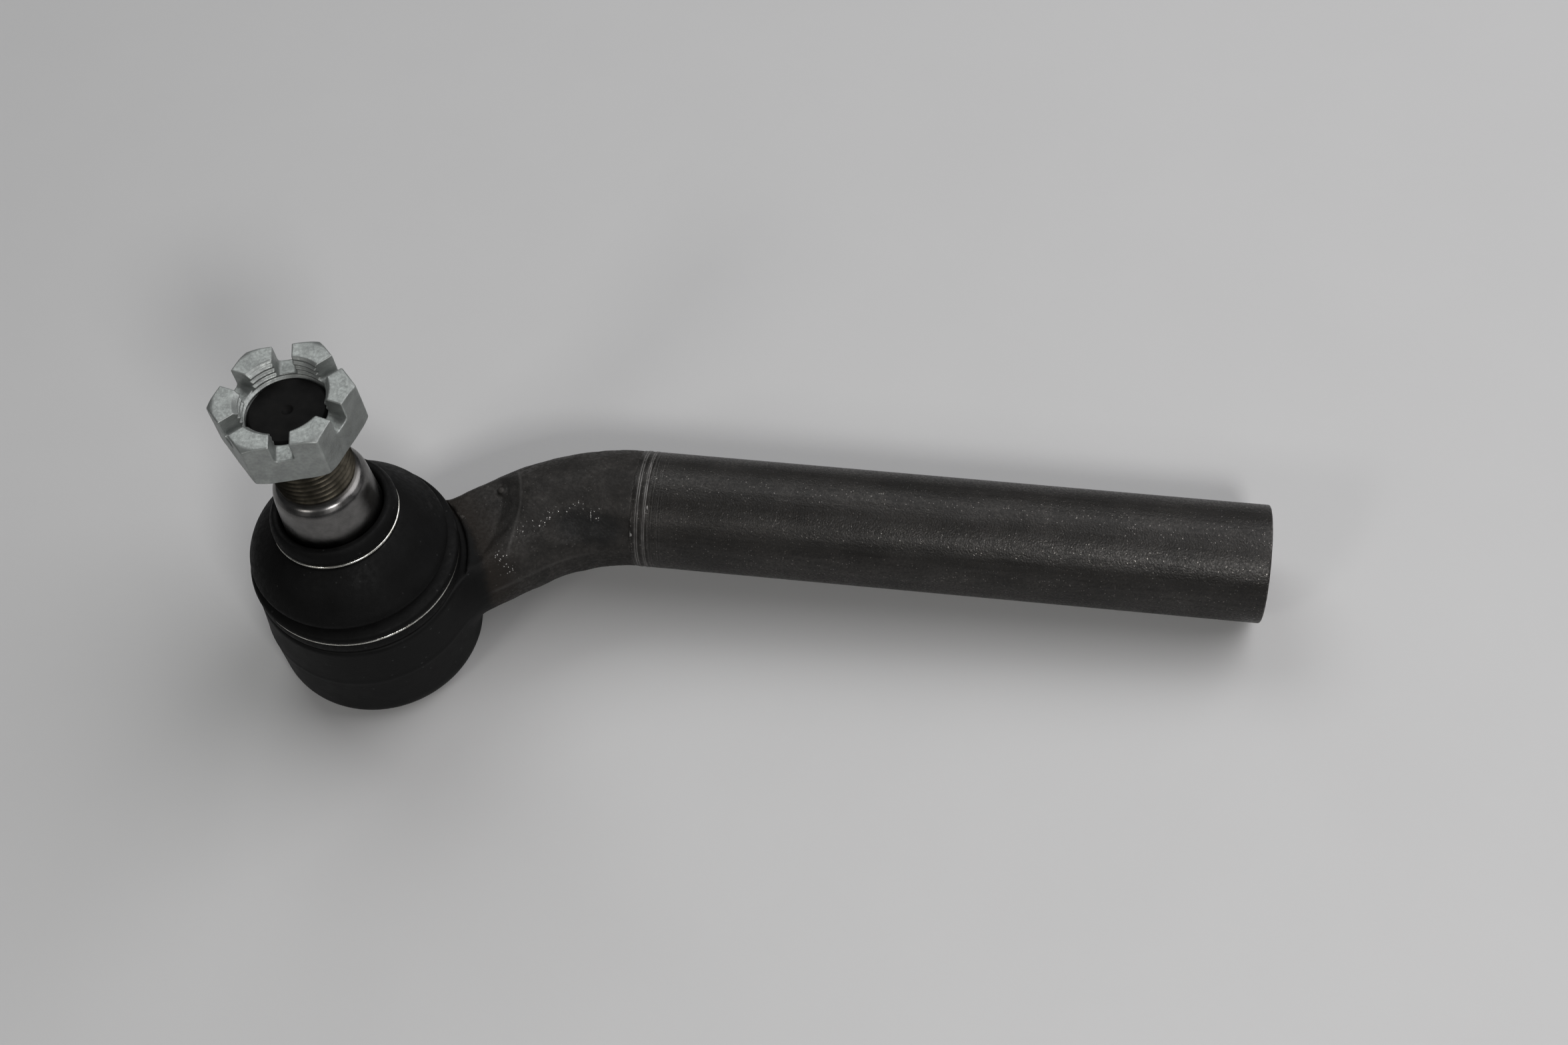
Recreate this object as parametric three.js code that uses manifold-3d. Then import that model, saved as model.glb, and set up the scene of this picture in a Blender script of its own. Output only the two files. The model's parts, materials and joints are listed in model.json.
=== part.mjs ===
// A cranked tie rod end for a heavy vehicle: a ball stud in a closed socket, with a welded-on tubular shank.
// Millimetres, +Z up along the socket's axis, +X along the shank. The origin is the middle of the cover's
// flat underside. Heights named "along the stud" count from the ball's centre.
import * as THREE from "three";
import { mergeVertices } from "three/addons/utils/BufferGeometryUtils.js";
import Module from "manifold-3d";

const wasm = await Module();
wasm.setup();

// Fits
const touchGap = 0.3; // between two pieces that touch on the real part
const neckClearance = 0.5; // left beside the stud's neck at full tilt
const roundSides = 48;

// Ball joint
const ballRadius = 19.5;
const ballCap = 2; // height of the cap cut off the ball's underside
const underShell = 12; // from the lower shell's bottom down to the underside
const shellWall = 4.9;
const shellShoulder = 6.2; // height of the upper shell's straight side
const tiltLimit = THREE.MathUtils.degToRad(18);
const leanAngle = THREE.MathUtils.degToRad(4.05); // how far the stud leans as it lies
const leanHeading = THREE.MathUtils.degToRad(143.6);

// Socket
const socketWall = 7.45;
const shoulderHeight = 12.3; // the boot's seat, above the ball centre
const bootSeatHeight = 7.2;
const ridgeDepth = 4; // widest line of the socket, below the ball centre
const topDraft = 1.15; // how much slimmer the socket is at its shoulder
const bottomDraft = 0.5;
const bottomRound = 8;
const lipThickness = 1.2;
const lipReach = 2.2; // the rolled lip covers this much of the cover's rim
const seatWall = 4.3; // from the boot seat out to the shoulder's edge

// Cover, seal, spring and spring plate
const coverThickness = 2.2;
const coverRebate = 0.9; // the cover's rim is this much wider than the shells
const coverDish = 1.5;
const coverFlatRadius = 19;
const sealWire = 0.8;
const plateThickness = 1.7;
const plateMargin = 1.8; // from the ball out to the plate's bore
const shellOpening = 3.5; // the lower shell stops this far short of the ball's lowest point
const springWire = 1.2;
const springStep = 3; // from the plate's bore out to the spring's small turn
const springTurns = 1.9;

// Stud, along the stud
const neckRadius = 10.8;
const neckEnd = 22;
const taperRadius = 15; // at its large end
const taperStart = 40;
const taperLength = 14.5;
const taperSlope = 1 / 16; // radius lost for each millimetre
const shoulderRound = 2.2;
const threadRadius = 11.7;
const studLength = 87.5;
const endChamfer = 0.9;
const centreDrillRadius = 1.7;
const cotterHoleRadius = 2.5;
const cotterHoleDepth = 7; // below the stud's end

// Castle nut
const acrossFlats = 36;
const nutHeight = 15.4;
const nutSeat = 78.7; // underside, along the stud
const slotWidth = 5.5;
const slotDepth = 6.4;
const nutCornerRadius = 19.1; // of the chamfer circle on both ends
const nutTurn = THREE.MathUtils.degToRad(14.2); // first corner's heading

// Boot and its two wire rings
const bootWall = 2.3;
const lowerGrooveDepth = 1.9; // of the groove the wire ring sits in
const upperGrooveDepth = 1.4;
const lowerRingRise = 5.1; // above the shoulder
const lowerWire = 0.75;
const upperRingHeight = 37.4; // along the stud
const upperWire = 0.7;
const bootCollarWall = 3.55;
const bootTop = 43.3;

// Neck and shank
const shankOffset = 36.35; // from the socket's axis to the shank's, sideways
const neckAngle = THREE.MathUtils.degToRad(35.7);
const neckRootShift = 9.8; // where the neck's line crosses the X axis
const bendRadius = 65;
const shankRadius = 18;
const shankBore = 12.5;
const weldStart = 79.4;
const weldWidth = 4.6;
const weldRise = 0.12;
const shankEnd = 271;
const mouthChamfer = 1.1;
const reliefRadius = 41; // round flat that the boot needs, cut into the neck's crown
const reliefCentre = [4, 20];
const reliefHeight = 13.4; // above the ball centre

// Derived
const ballFlat = ballRadius - ballCap;
const shellDepth = ballRadius - shellOpening; // bottom of the lower shell, below the ball centre
const ballHeight = shellDepth + underShell; // ball centre above the underside
const bearingRadius = ballRadius + touchGap;
const shellRadius = bearingRadius + shellWall;
const cavityRadius = shellRadius + touchGap;
const socketRadius = cavityRadius + socketWall;
const shoulderRadius = socketRadius - topDraft;
const seatRadius = shoulderRadius - seatWall;
const coverRadius = shellRadius + coverRebate;
const coverTopHeight = -ballHeight + lipThickness + touchGap + coverThickness;
const plateTop = -shellDepth - touchGap;
const plateBottom = plateTop - plateThickness;
const plateBore = Math.sqrt(ballRadius ** 2 - plateTop ** 2) + plateMargin;
const springTopRadius = plateBore + springStep;
const neckEdge = neckRadius / Math.cos(tiltLimit) + neckClearance;
const tiltSlope = Math.tan(tiltLimit);
const taperTop = taperStart + taperLength;
const taperTopRadius = taperRadius - taperLength * taperSlope;
const threadStart = taperTop + shoulderRound + (taperTopRadius - shoulderRound - threadRadius) / 2;
const lowerRingHeight = shoulderHeight + lowerRingRise;
const sealRadius = coverRadius - sealWire - touchGap;
const beadRadius = shoulderRadius - 0.1;
const collarInside = taperRadius + touchGap;
const collarOutside = collarInside + bootCollarWall;
const lowerRingRadius = beadRadius - lowerGrooveDepth + touchGap + lowerWire;
const upperRingRadius = collarOutside - upperGrooveDepth + touchGap + upperWire;
const nutBore = threadRadius + touchGap;
const weldEnd = weldStart + weldWidth;

// How high the upper shell may reach before the tilted neck would touch its mouth
function shellTopHeight() {
  const a = 1 + tiltSlope ** 2;
  const b = neckEdge * tiltSlope;
  const c = neckEdge ** 2 - bearingRadius ** 2;
  return (-b + Math.sqrt(b * b - a * c)) / a;
}
const shellTop = shellTopHeight();

// Radius of a mouth that clears the tilted neck at a height
function mouthRadius(height) {
  return neckEdge + height * tiltSlope;
}

// Points of an arc in a turned profile, [radius, height] pairs
function arc(radius, height, size, fromDegrees, toDegrees, steps) {
  const points = [];
  for (let i = 0; i <= steps; i++) {
    const angle = THREE.MathUtils.degToRad(fromDegrees + ((toDegrees - fromDegrees) * i) / steps);
    points.push([radius + size * Math.cos(angle), height + size * Math.sin(angle)]);
  }
  return points;
}

// A turned solid about Z from a closed [radius, height] outline, or one from axis to axis
function turned(outline, sides = roundSides) {
  const points = outline.map(([radius, height]) => new THREE.Vector2(Math.max(radius, 0), height));
  let area = 0;
  points.forEach((p, i) => {
    const next = points[(i + 1) % points.length];
    area += p.x * next.y - next.x * p.y;
  });
  if (area < 0) points.reverse();
  const touchesAxis = points.some((p) => p.x === 0);
  if (!touchesAxis) points.push(points[0].clone());
  const geometry = new THREE.LatheGeometry(points, sides);
  geometry.rotateX(Math.PI / 2);
  return geometry;
}

// A turned ring of round wire
function wireRing(radius, height, wire, sides = roundSides) {
  return turned(arc(radius, height, wire, 0, 315, 7), sides);
}

function solid(geometry) {
  const bare = geometry.index ? geometry.clone() : geometry;
  bare.deleteAttribute("normal");
  bare.deleteAttribute("uv");
  const merged = mergeVertices(bare, 1e-4);
  return new wasm.Manifold(
    new wasm.Mesh({
      numProp: 3,
      vertProperties: merged.attributes.position.array,
      triVerts: new Uint32Array(merged.index.array),
    }),
  );
}

function geometryOf(manifold) {
  const mesh = manifold.getMesh();
  const geometry = new THREE.BufferGeometry();
  geometry.setAttribute("position", new THREE.BufferAttribute(mesh.vertProperties, 3));
  geometry.setIndex(new THREE.BufferAttribute(mesh.triVerts, 1));
  geometry.computeVertexNormals();
  return geometry;
}

const finishes = {
  blackCoat: { color: 0x1d1d1d, roughness: 0.6, metalness: 0.3 },
  tubeSteel: { color: 0x45423d, roughness: 0.5, metalness: 0.8 },
  brightSteel: { color: 0x9a9a96, roughness: 0.3, metalness: 1 },
  zinc: { color: 0xb4b8b4, roughness: 0.35, metalness: 1 },
  springSteel: { color: 0x5a5a5c, roughness: 0.4, metalness: 1 },
  rubber: { color: 0x161616, roughness: 0.7, metalness: 0 },
  acetal: { color: 0xd8d4c6, roughness: 0.45, metalness: 0 },
};

function piece(name, geometry, finish) {
  const mesh = new THREE.Mesh(geometry, new THREE.MeshStandardMaterial(finishes[finish]));
  mesh.name = name;
  return mesh;
}

// Outer outline of the socket, from the lip's foot up to the shoulder
function socketSide() {
  const foot = socketRadius - bottomDraft;
  return [
    ...arc(foot - bottomRound, -ballHeight + bottomRound, bottomRound, -90, 0, 6),
    [socketRadius, -ridgeDepth],
    [shoulderRadius, shoulderHeight - 0.8],
    [shoulderRadius - 0.8, shoulderHeight],
  ];
}

function neckPath() {
  const corner = neckRootShift + shankOffset / Math.tan(neckAngle);
  const tangent = bendRadius * Math.tan(neckAngle / 2);
  const start = new THREE.Vector3(neckRootShift + 4, 4 * Math.tan(neckAngle), 0);
  const bendStart = new THREE.Vector3(
    corner - tangent * Math.cos(neckAngle),
    shankOffset - tangent * Math.sin(neckAngle),
    0,
  );
  const bendMiddle = new THREE.Vector3(corner, shankOffset, 0);
  const bendEnd = new THREE.Vector3(corner + tangent, shankOffset, 0);
  const end = new THREE.Vector3(weldStart - touchGap, shankOffset, 0);
  const path = new THREE.CurvePath();
  path.add(new THREE.LineCurve3(start, bendStart));
  path.add(new THREE.QuadraticBezierCurve3(bendStart, bendMiddle, bendEnd));
  if (end.x > bendEnd.x) path.add(new THREE.LineCurve3(bendEnd, end));
  return path;
}

function socketForging() {
  const shape = new THREE.Shape();
  shape.absarc(0, 0, shankRadius, 0, Math.PI * 2);
  const neck = solid(
    new THREE.ExtrudeGeometry(shape, { steps: 26, curveSegments: 18, extrudePath: neckPath() }),
  );
  const socket = solid(turned([[0, -ballHeight], ...socketSide(), [0, shoulderHeight]]));
  const relief = solid(
    turned([
      [0, reliefHeight],
      [reliefRadius, reliefHeight],
      [reliefRadius + shankRadius, reliefHeight + shankRadius],
      [0, reliefHeight + shankRadius],
    ]),
  );
  const bootPocket = solid(
    turned([
      [0, shoulderHeight],
      [shoulderRadius + 1.4, shoulderHeight],
      [shoulderRadius + 1.4, reliefHeight + 1],
      [0, reliefHeight + 1],
    ]),
  );
  const weldFace = solid(turned([[0, 0], [2 * shankRadius, 0], [2 * shankRadius, 60], [0, 60]]));
  const weldSide = weldFace.rotate([0, 90, 0]).translate([weldStart - touchGap, shankOffset, 0]);
  const seatTop = shoulderHeight + bootSeatHeight;
  const seat = solid(
    turned([
      [0, shoulderHeight - 1],
      [seatRadius, shoulderHeight - 1],
      [seatRadius, seatTop - 0.8],
      [seatRadius - 0.8, seatTop],
      [0, seatTop],
    ]),
  );
  const coneTop = shellTop + 2 * touchGap;
  const cavity = solid(
    turned([
      [0, -ballHeight - 1],
      [coverRadius - lipReach, -ballHeight - 1],
      [coverRadius - lipReach, -ballHeight + lipThickness],
      [coverRadius + touchGap, -ballHeight + lipThickness],
      [coverRadius + touchGap, coverTopHeight + touchGap + 2 * sealWire],
      [cavityRadius, coverTopHeight + touchGap + 2 * sealWire],
      [cavityRadius, shellShoulder + touchGap],
      [mouthRadius(coneTop) + 1.6, coneTop],
      [mouthRadius(coneTop) + 1, coneTop],
      [mouthRadius(seatTop) + 1, seatTop],
      [mouthRadius(seatTop) + 1.6, seatTop + 1],
      [0, seatTop + 1],
    ]),
  );
  const flat = relief.translate([...reliefCentre, 0]);
  const body = neck.add(socket).subtract(flat).subtract(bootPocket).subtract(weldSide);
  return geometryOf(body.add(seat).subtract(cavity));
}

function weldBand() {
  const outer = shankRadius + weldRise;
  return turned([
    [shankBore, 0],
    [outer - 0.3, 0],
    [outer, 0.4],
    [outer, weldWidth - 0.4],
    [outer - 0.3, weldWidth],
    [shankBore, weldWidth],
  ]);
}

function shankTube() {
  const start = weldEnd + touchGap;
  return turned([
    [shankBore, start],
    [shankRadius, start],
    [shankRadius, shankEnd - 0.6],
    [shankRadius - 0.6, shankEnd],
    [shankBore + mouthChamfer, shankEnd],
    [shankBore, shankEnd - mouthChamfer],
  ]);
}

function endCover() {
  const rimLow = coverTopHeight - coverThickness;
  const flat = -ballHeight;
  const slopeEnd = coverFlatRadius + 2.4;
  return turned([
    [0, flat],
    [coverFlatRadius, flat],
    [slopeEnd, rimLow],
    [coverRadius, rimLow],
    [coverRadius, coverTopHeight],
    [slopeEnd - 0.6, coverTopHeight],
    [coverFlatRadius - 0.6, coverTopHeight - coverDish],
    [0, coverTopHeight - coverDish],
  ]);
}

function springPlate() {
  return turned([
    [plateBore, plateBottom],
    [shellRadius, plateBottom],
    [shellRadius, plateTop],
    [plateBore, plateTop],
  ]);
}

// A conical wire spring: small turn under the plate, large turn on the cover's rim
class ConeCoil extends THREE.Curve {
  getPoint(t) {
    const topHeight = plateBottom - touchGap - springWire;
    const lowHeight = coverTopHeight + touchGap + springWire;
    const lowRadius = sealRadius - sealWire - touchGap - springWire;
    const angle = 2 * Math.PI * springTurns * t;
    const radius = springTopRadius + (lowRadius - springTopRadius) * t;
    const height = topHeight + (lowHeight - topHeight) * t;
    return new THREE.Vector3(radius * Math.cos(angle), radius * Math.sin(angle), height);
  }
}

function preloadSpring() {
  const shape = new THREE.Shape();
  shape.absarc(0, 0, springWire, 0, Math.PI * 2);
  return new THREE.ExtrudeGeometry(shape, { steps: 44, curveSegments: 4, extrudePath: new ConeCoil() });
}

function upperShell() {
  const low = touchGap / 2;
  const lowDegrees = THREE.MathUtils.radToDeg(Math.asin(low / bearingRadius));
  const topDegrees = THREE.MathUtils.radToDeg(Math.asin(shellTop / bearingRadius));
  return turned([
    ...arc(0, 0, bearingRadius, lowDegrees, topDegrees, 5),
    [mouthRadius(shellTop) + 1.4, shellTop],
    [shellRadius, shellShoulder],
    [shellRadius, low],
  ]);
}

function lowerShell() {
  const high = -touchGap / 2;
  const highDegrees = THREE.MathUtils.radToDeg(Math.asin(high / bearingRadius));
  const lowDegrees = THREE.MathUtils.radToDeg(Math.asin(-shellDepth / bearingRadius));
  return turned([
    ...arc(0, 0, bearingRadius, highDegrees, lowDegrees, 6),
    [shellRadius, -shellDepth],
    [shellRadius, high],
  ]);
}

function ballStud() {
  const neckAngleOnBall = THREE.MathUtils.radToDeg(Math.acos(neckRadius / ballRadius));
  const flatAngle = THREE.MathUtils.radToDeg(Math.asin(-ballFlat / ballRadius));
  const outline = [
    [0, -ballFlat],
    ...arc(0, 0, ballRadius, flatAngle, neckAngleOnBall, 12),
    [neckRadius, neckEnd],
    [(neckRadius + taperRadius) / 2 - 0.4, (neckEnd + taperStart) / 2],
    [taperRadius - 0.5, taperStart - 4.5],
    [taperRadius, taperStart - 3],
    [taperRadius, taperStart],
    ...arc(taperTopRadius - shoulderRound, taperTop, shoulderRound, 0, 70, 4),
    [threadRadius, threadStart],
    [threadRadius, studLength - endChamfer],
    [threadRadius - endChamfer, studLength],
    [centreDrillRadius, studLength],
    [0, studLength - centreDrillRadius],
  ];
  const holeLength = 2 * threadRadius + 4;
  const hole = solid(
    turned([[0, 0], [cotterHoleRadius, 0], [cotterHoleRadius, holeLength], [0, holeLength]], 20),
  );
  const across = hole
    .translate([0, 0, -holeLength / 2])
    .rotate([0, 90, 0])
    .rotate([0, 0, THREE.MathUtils.radToDeg(nutTurn) + 30])
    .translate([0, 0, studLength - cotterHoleDepth]);
  return geometryOf(solid(turned(outline)).subtract(across));
}

function castleNut() {
  const hexagon = new THREE.Shape();
  const cornerReach = acrossFlats / Math.sqrt(3);
  for (let i = 0; i < 6; i++) {
    const angle = nutTurn + (i * Math.PI) / 3;
    const point = [cornerReach * Math.cos(angle), cornerReach * Math.sin(angle)];
    if (i === 0) hexagon.moveTo(...point);
    else hexagon.lineTo(...point);
  }
  hexagon.closePath();
  const block = solid(new THREE.ExtrudeGeometry(hexagon, { depth: nutHeight, bevelEnabled: false }));
  const chamferRun = cornerReach + 1 - nutCornerRadius;
  const chamferRise = chamferRun * Math.tan(Math.PI / 6);
  const envelope = solid(
    turned([
      [0, 0],
      [nutCornerRadius, 0],
      [nutCornerRadius + chamferRun, chamferRise],
      [nutCornerRadius + chamferRun, nutHeight - chamferRise],
      [nutCornerRadius, nutHeight],
      [0, nutHeight],
    ]),
  );
  const bore = solid(
    turned([
      [0, -1],
      [nutBore + 1.7, -1],
      [nutBore, 0.7],
      [nutBore, nutHeight - 0.7],
      [nutBore + 1.7, nutHeight + 1],
      [0, nutHeight + 1],
    ]),
  );
  let nut = block.intersect(envelope).subtract(bore);
  for (let i = 0; i < 3; i++) {
    const slot = new THREE.BoxGeometry(3 * acrossFlats, slotWidth, 2 * slotDepth);
    slot.rotateZ(nutTurn + Math.PI / 6 + (i * Math.PI) / 3);
    slot.translate(0, 0, nutHeight);
    nut = nut.subtract(solid(slot));
  }
  return geometryOf(nut);
}

// The boot's straight form, before it leans with the stud
function bootOutline() {
  const foot = shoulderHeight + touchGap;
  const lowerGroove = lowerWire + touchGap;
  const upperGroove = upperWire + touchGap;
  const collarFoot = upperRingHeight - upperGroove - 0.6;
  const foldHeight = lowerRingHeight + 4.3;
  const rise = collarFoot - foldHeight;
  const fall = beadRadius - collarOutside;
  const outside = [
    [seatRadius + touchGap, foot],
    [beadRadius, foot],
    [beadRadius, lowerRingHeight - lowerGroove],
    [beadRadius - lowerGrooveDepth, lowerRingHeight - lowerGroove],
    [beadRadius - lowerGrooveDepth, lowerRingHeight + lowerGroove],
    [beadRadius + 0.1, lowerRingHeight + lowerGroove + 0.6],
    [beadRadius - 0.6, foldHeight],
    [beadRadius - 0.9, foldHeight + rise * 0.18],
    [beadRadius - fall * 0.19, foldHeight + rise * 0.36],
    [beadRadius - fall * 0.36, foldHeight + rise * 0.54],
    [beadRadius - fall * 0.56, foldHeight + rise * 0.74],
    [beadRadius - fall * 0.78, foldHeight + rise * 0.9],
    [collarOutside, collarFoot],
    [collarOutside - upperGrooveDepth, upperRingHeight - upperGroove],
    [collarOutside - upperGrooveDepth, upperRingHeight + upperGroove],
    [collarOutside, upperRingHeight + upperGroove + 0.4],
    [collarOutside - 0.5, bootTop - 1.6],
    [collarInside + 1.6, bootTop],
    [collarInside, bootTop - 0.6],
    [collarInside, collarFoot + 0.8],
  ];
  const inside = [
    [beadRadius - fall * 0.78 - bootWall * 0.5, foldHeight + rise * 0.9 - bootWall],
    [beadRadius - fall * 0.56 - bootWall * 0.6, foldHeight + rise * 0.74 - bootWall * 0.9],
    [beadRadius - fall * 0.19 - bootWall, foldHeight + rise * 0.36 - bootWall * 0.5],
    [beadRadius - 0.6 - bootWall, foldHeight],
    [seatRadius + touchGap, shoulderHeight + bootSeatHeight - 0.4],
  ];
  return [...outside, ...inside];
}

const leanAxis = new THREE.Vector3(-Math.sin(leanHeading), Math.cos(leanHeading), 0);

// Leans a geometry about the ball centre: not at all below one height, fully above another
function leaned(geometry, from, to) {
  const position = geometry.getAttribute("position");
  const point = new THREE.Vector3();
  for (let i = 0; i < position.count; i++) {
    point.fromBufferAttribute(position, i);
    const share = THREE.MathUtils.smoothstep(point.z, from, to);
    point.applyAxisAngle(leanAxis, leanAngle * share);
    position.setXYZ(i, point.x, point.y, point.z);
  }
  geometry.computeVertexNormals();
  return geometry;
}

function dustBoot() {
  const straight = turned(bootOutline());
  return leaned(straight, lowerRingHeight + 2, upperRingHeight - 2);
}

const tieRodEnd = new THREE.Group();

const atBallCentre = new THREE.Group();
atBallCentre.position.z = ballHeight;
tieRodEnd.add(atBallCentre);

const onStud = new THREE.Group();
onStud.quaternion.setFromAxisAngle(leanAxis, leanAngle);
atBallCentre.add(onStud);

const onShank = new THREE.Group();
onShank.position.y = shankOffset;
onShank.rotation.y = Math.PI / 2;
atBallCentre.add(onShank);

atBallCentre.add(piece("socket_forging", socketForging(), "blackCoat"));
const band = piece("weld_band", weldBand(), "brightSteel");
band.position.z = weldStart;
onShank.add(band);
onShank.add(piece("shank_tube", shankTube(), "tubeSteel"));

atBallCentre.add(piece("end_cover", endCover(), "blackCoat"));
const sealHeight = coverTopHeight + touchGap + sealWire;
atBallCentre.add(piece("cover_seal", wireRing(sealRadius, sealHeight, sealWire), "rubber"));
atBallCentre.add(piece("preload_spring", preloadSpring(), "springSteel"));
atBallCentre.add(piece("spring_plate", springPlate(), "brightSteel"));
atBallCentre.add(piece("lower_bearing_shell", lowerShell(), "acetal"));
atBallCentre.add(piece("upper_bearing_shell", upperShell(), "acetal"));

atBallCentre.add(piece("dust_boot", dustBoot(), "rubber"));
atBallCentre.add(piece("boot_lower_ring", wireRing(lowerRingRadius, lowerRingHeight, lowerWire), "zinc"));

onStud.add(piece("ball_stud", ballStud(), "brightSteel"));
onStud.add(piece("boot_upper_ring", wireRing(upperRingRadius, upperRingHeight, upperWire), "zinc"));
const nut = piece("castle_nut", castleNut(), "zinc");
nut.position.z = nutSeat;
onStud.add(nut);

export default tieRodEnd;
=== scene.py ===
import json
import math

import bmesh
import bpy
import numpy as np
import openvdb
from mathutils import Matrix, Vector


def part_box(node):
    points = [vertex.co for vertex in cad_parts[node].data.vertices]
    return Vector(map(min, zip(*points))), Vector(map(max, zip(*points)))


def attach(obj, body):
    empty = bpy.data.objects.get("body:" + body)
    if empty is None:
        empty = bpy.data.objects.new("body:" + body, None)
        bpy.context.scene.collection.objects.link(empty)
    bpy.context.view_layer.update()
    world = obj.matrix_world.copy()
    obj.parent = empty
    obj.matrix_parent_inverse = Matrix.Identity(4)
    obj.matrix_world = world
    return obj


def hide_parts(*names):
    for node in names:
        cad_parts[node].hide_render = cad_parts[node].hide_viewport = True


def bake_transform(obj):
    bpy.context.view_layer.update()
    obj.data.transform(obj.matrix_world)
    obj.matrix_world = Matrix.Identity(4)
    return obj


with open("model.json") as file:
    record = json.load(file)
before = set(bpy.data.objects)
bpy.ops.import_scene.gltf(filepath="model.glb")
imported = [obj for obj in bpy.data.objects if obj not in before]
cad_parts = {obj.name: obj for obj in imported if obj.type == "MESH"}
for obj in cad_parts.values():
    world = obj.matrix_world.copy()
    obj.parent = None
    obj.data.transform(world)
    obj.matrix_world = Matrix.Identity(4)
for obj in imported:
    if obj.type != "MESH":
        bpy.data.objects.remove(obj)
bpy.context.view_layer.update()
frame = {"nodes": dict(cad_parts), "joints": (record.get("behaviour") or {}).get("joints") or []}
joints = {joint["name"]: joint for joint in frame["joints"]}
print("frame loaded:", ", ".join(sorted(frame["nodes"])))

# Shapes are written in millimetres about the ball's centre, with Z up along the socket, and
# these matrices place them
mm = 0.001
ballCentre = Vector(joints["stud_heading"]["pos_m"])
up = Vector((0, 0, 1))
studAxis = Vector(joints["stud_spin"]["axis"]).normalized()
leanTurn = up.rotation_difference(studAxis)
leanAxis, leanAngle = leanTurn.to_axis_angle()
socketPlace = Matrix.Translation(ballCentre) @ Matrix.Scale(mm, 4)
studPlace = Matrix.Translation(ballCentre) @ leanTurn.to_matrix().to_4x4() @ Matrix.Scale(mm, 4)
tubeLow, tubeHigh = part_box("shank_tube")
shankOffset = (tubeLow.y + tubeHigh.y) / 2 / mm
shankPlace = (
    Matrix.Translation(ballCentre + Vector((0, shankOffset * mm, 0)))
    @ Matrix.Rotation(math.pi / 2, 4, "Y")
    @ Matrix.Scale(mm, 4)
)


def smoothStep(value, low, high):
    t = np.clip((value - low) / (high - low), 0, 1)
    return t * t * (3 - 2 * t)


# Rounds each corner of a [radius, height, rounding] outline
def rounded(outline, closed=True, steps=4):
    points = []
    count = len(outline)
    for i, (radius, height, size) in enumerate(outline):
        here = Vector((radius, height))
        if size == 0 or (not closed and i in (0, count - 1)):
            points.append((radius, height))
            continue
        before = Vector(outline[i - 1][:2]) - here
        after = Vector(outline[(i + 1) % count][:2]) - here
        a = here + before.normalized() * min(size, before.length * 0.45)
        b = here + after.normalized() * min(size, after.length * 0.45)
        for k in range(steps + 1):
            t = k / steps
            p = a * (1 - t) ** 2 + here * 2 * t * (1 - t) + b * t * t
            points.append((p.x, p.y))
    return points


# Splits the long straight runs of an outline
def divided(points, longest, closed=True):
    result = []
    pairs = list(zip(points, points[1:] + points[:1])) if closed else list(zip(points, points[1:]))
    for (r0, z0), (r1, z1) in pairs:
        parts = max(1, math.ceil(math.hypot(r1 - r0, z1 - z0) / longest))
        result += [(r0 + (r1 - r0) * k / parts, z0 + (z1 - z0) * k / parts) for k in range(parts)]
    if not closed:
        result.append(points[-1])
    return result


# Adds a turned skin about Z to a bmesh; shape moves each finished point
def addTurned(bm, points, sides, closed=False, shape=None):
    rings = []
    for radius, height in points:
        if radius < 1e-6:
            spots = [(0, 0, height)]
        else:
            spots = [
                (radius * math.cos(math.tau * j / sides), radius * math.sin(math.tau * j / sides), height)
                for j in range(sides)
            ]
        rings.append([bm.verts.new(shape(*spot) if shape else spot) for spot in spots])
    pairs = list(zip(rings, rings[1:] + rings[:1])) if closed else list(zip(rings, rings[1:]))
    for low, high in pairs:
        for j in range(sides):
            corners = [low[j % len(low)], low[(j + 1) % len(low)]]
            corners += [high[(j + 1) % len(high)], high[j % len(high)]]
            corners = list(dict.fromkeys(corners))
            if len(corners) > 2:
                bm.faces.new(corners)


# Adds an open turned skin from a [radius, height, rounding] outline
def addSkin(bm, outline, longest, sides):
    addTurned(bm, divided(rounded(outline, closed=False), longest, closed=False), sides)


# Where in half a pitch a thread's flank starts, how long it is, and how its ends run out
threadFlank = {"start": 0.26, "run": 0.62, "ease": 0.7}


# Adds a helical thread skin between two heights, with a flat ring at each end
def addThread(bm, thread, sides):
    rows = thread["rowsPerTurn"]
    step = thread["pitch"] / rows
    count = math.ceil((thread["end"] - thread["start"] + thread["pitch"]) / step) + rows
    ease = threadFlank["ease"]
    grid = []
    for i in range(count + 1):
        spread = abs((i % rows) / rows * 2 - 1)
        ridge = min(max((spread - threadFlank["start"]) / threadFlank["run"], 0), 1)
        line = []
        for j in range(sides):
            height = thread["start"] - thread["pitch"] + (i + rows * j / sides) * step
            height = min(max(height, thread["start"]), thread["end"])
            radius = thread["root"] + (thread["crest"] - thread["root"]) * ridge
            low = min((height - thread["start"]) / thread["fadeStart"], 1)
            high = min((thread["end"] - height) / thread["fadeEnd"], 1)
            radius = thread["startRadius"] + (radius - thread["startRadius"]) * low ** ease
            radius = thread["endRadius"] + (radius - thread["endRadius"]) * high ** ease
            angle = math.tau * j / sides
            line.append(bm.verts.new((radius * math.cos(angle), radius * math.sin(angle), height)))
        grid.append(line)
    for i in range(count):
        for j in range(sides - 1):
            bm.faces.new((grid[i][j], grid[i][j + 1], grid[i + 1][j + 1], grid[i + 1][j]))
        if i + rows + 1 <= count:
            bm.faces.new((grid[i][-1], grid[i + rows][0], grid[i + rows + 1][0], grid[i + 1][-1]))


def addObject(name, data):
    item = bpy.data.objects.new(name, data)
    bpy.context.scene.collection.objects.link(item)
    return item


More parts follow.
